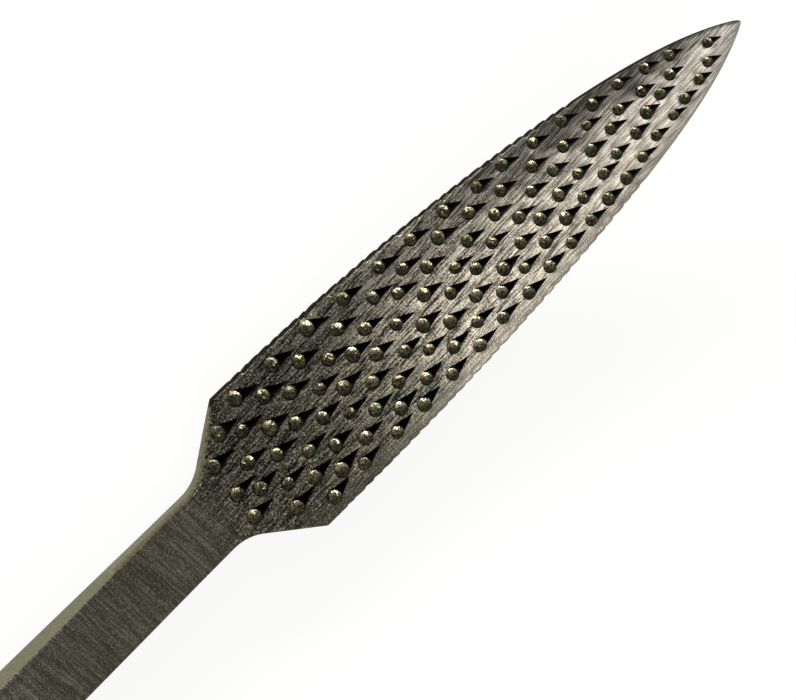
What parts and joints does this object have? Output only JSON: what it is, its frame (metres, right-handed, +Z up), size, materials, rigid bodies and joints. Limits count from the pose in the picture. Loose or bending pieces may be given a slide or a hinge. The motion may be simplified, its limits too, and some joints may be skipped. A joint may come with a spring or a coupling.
{
  "type": "riffler file",
  "caption": "Double-ended riffler: a square steel grip forged at both ends into bowed, pointed sage-leaf rasps, stitched with staggered teeth on both faces and along the edges.",
  "frame": {"origin": "on the flat underside of the square grip, at the middle of the tool's length and width", "axes": "+X along the tool towards the leaf that the picture shows, +Y across it, +Z up, the way both tips rise"},
  "size_m": [0.2, 0.013, 0.0088],
  "materials": {
    "tool_steel": "hardened tool steel, dark olive-grey from heat treatment, lengthwise grinding lines on the leaves and cross lines on the bar, satin"
  },
  "bodies": {
    "root": {"riffler": "tool_steel"}
  },
  "joints": []
}
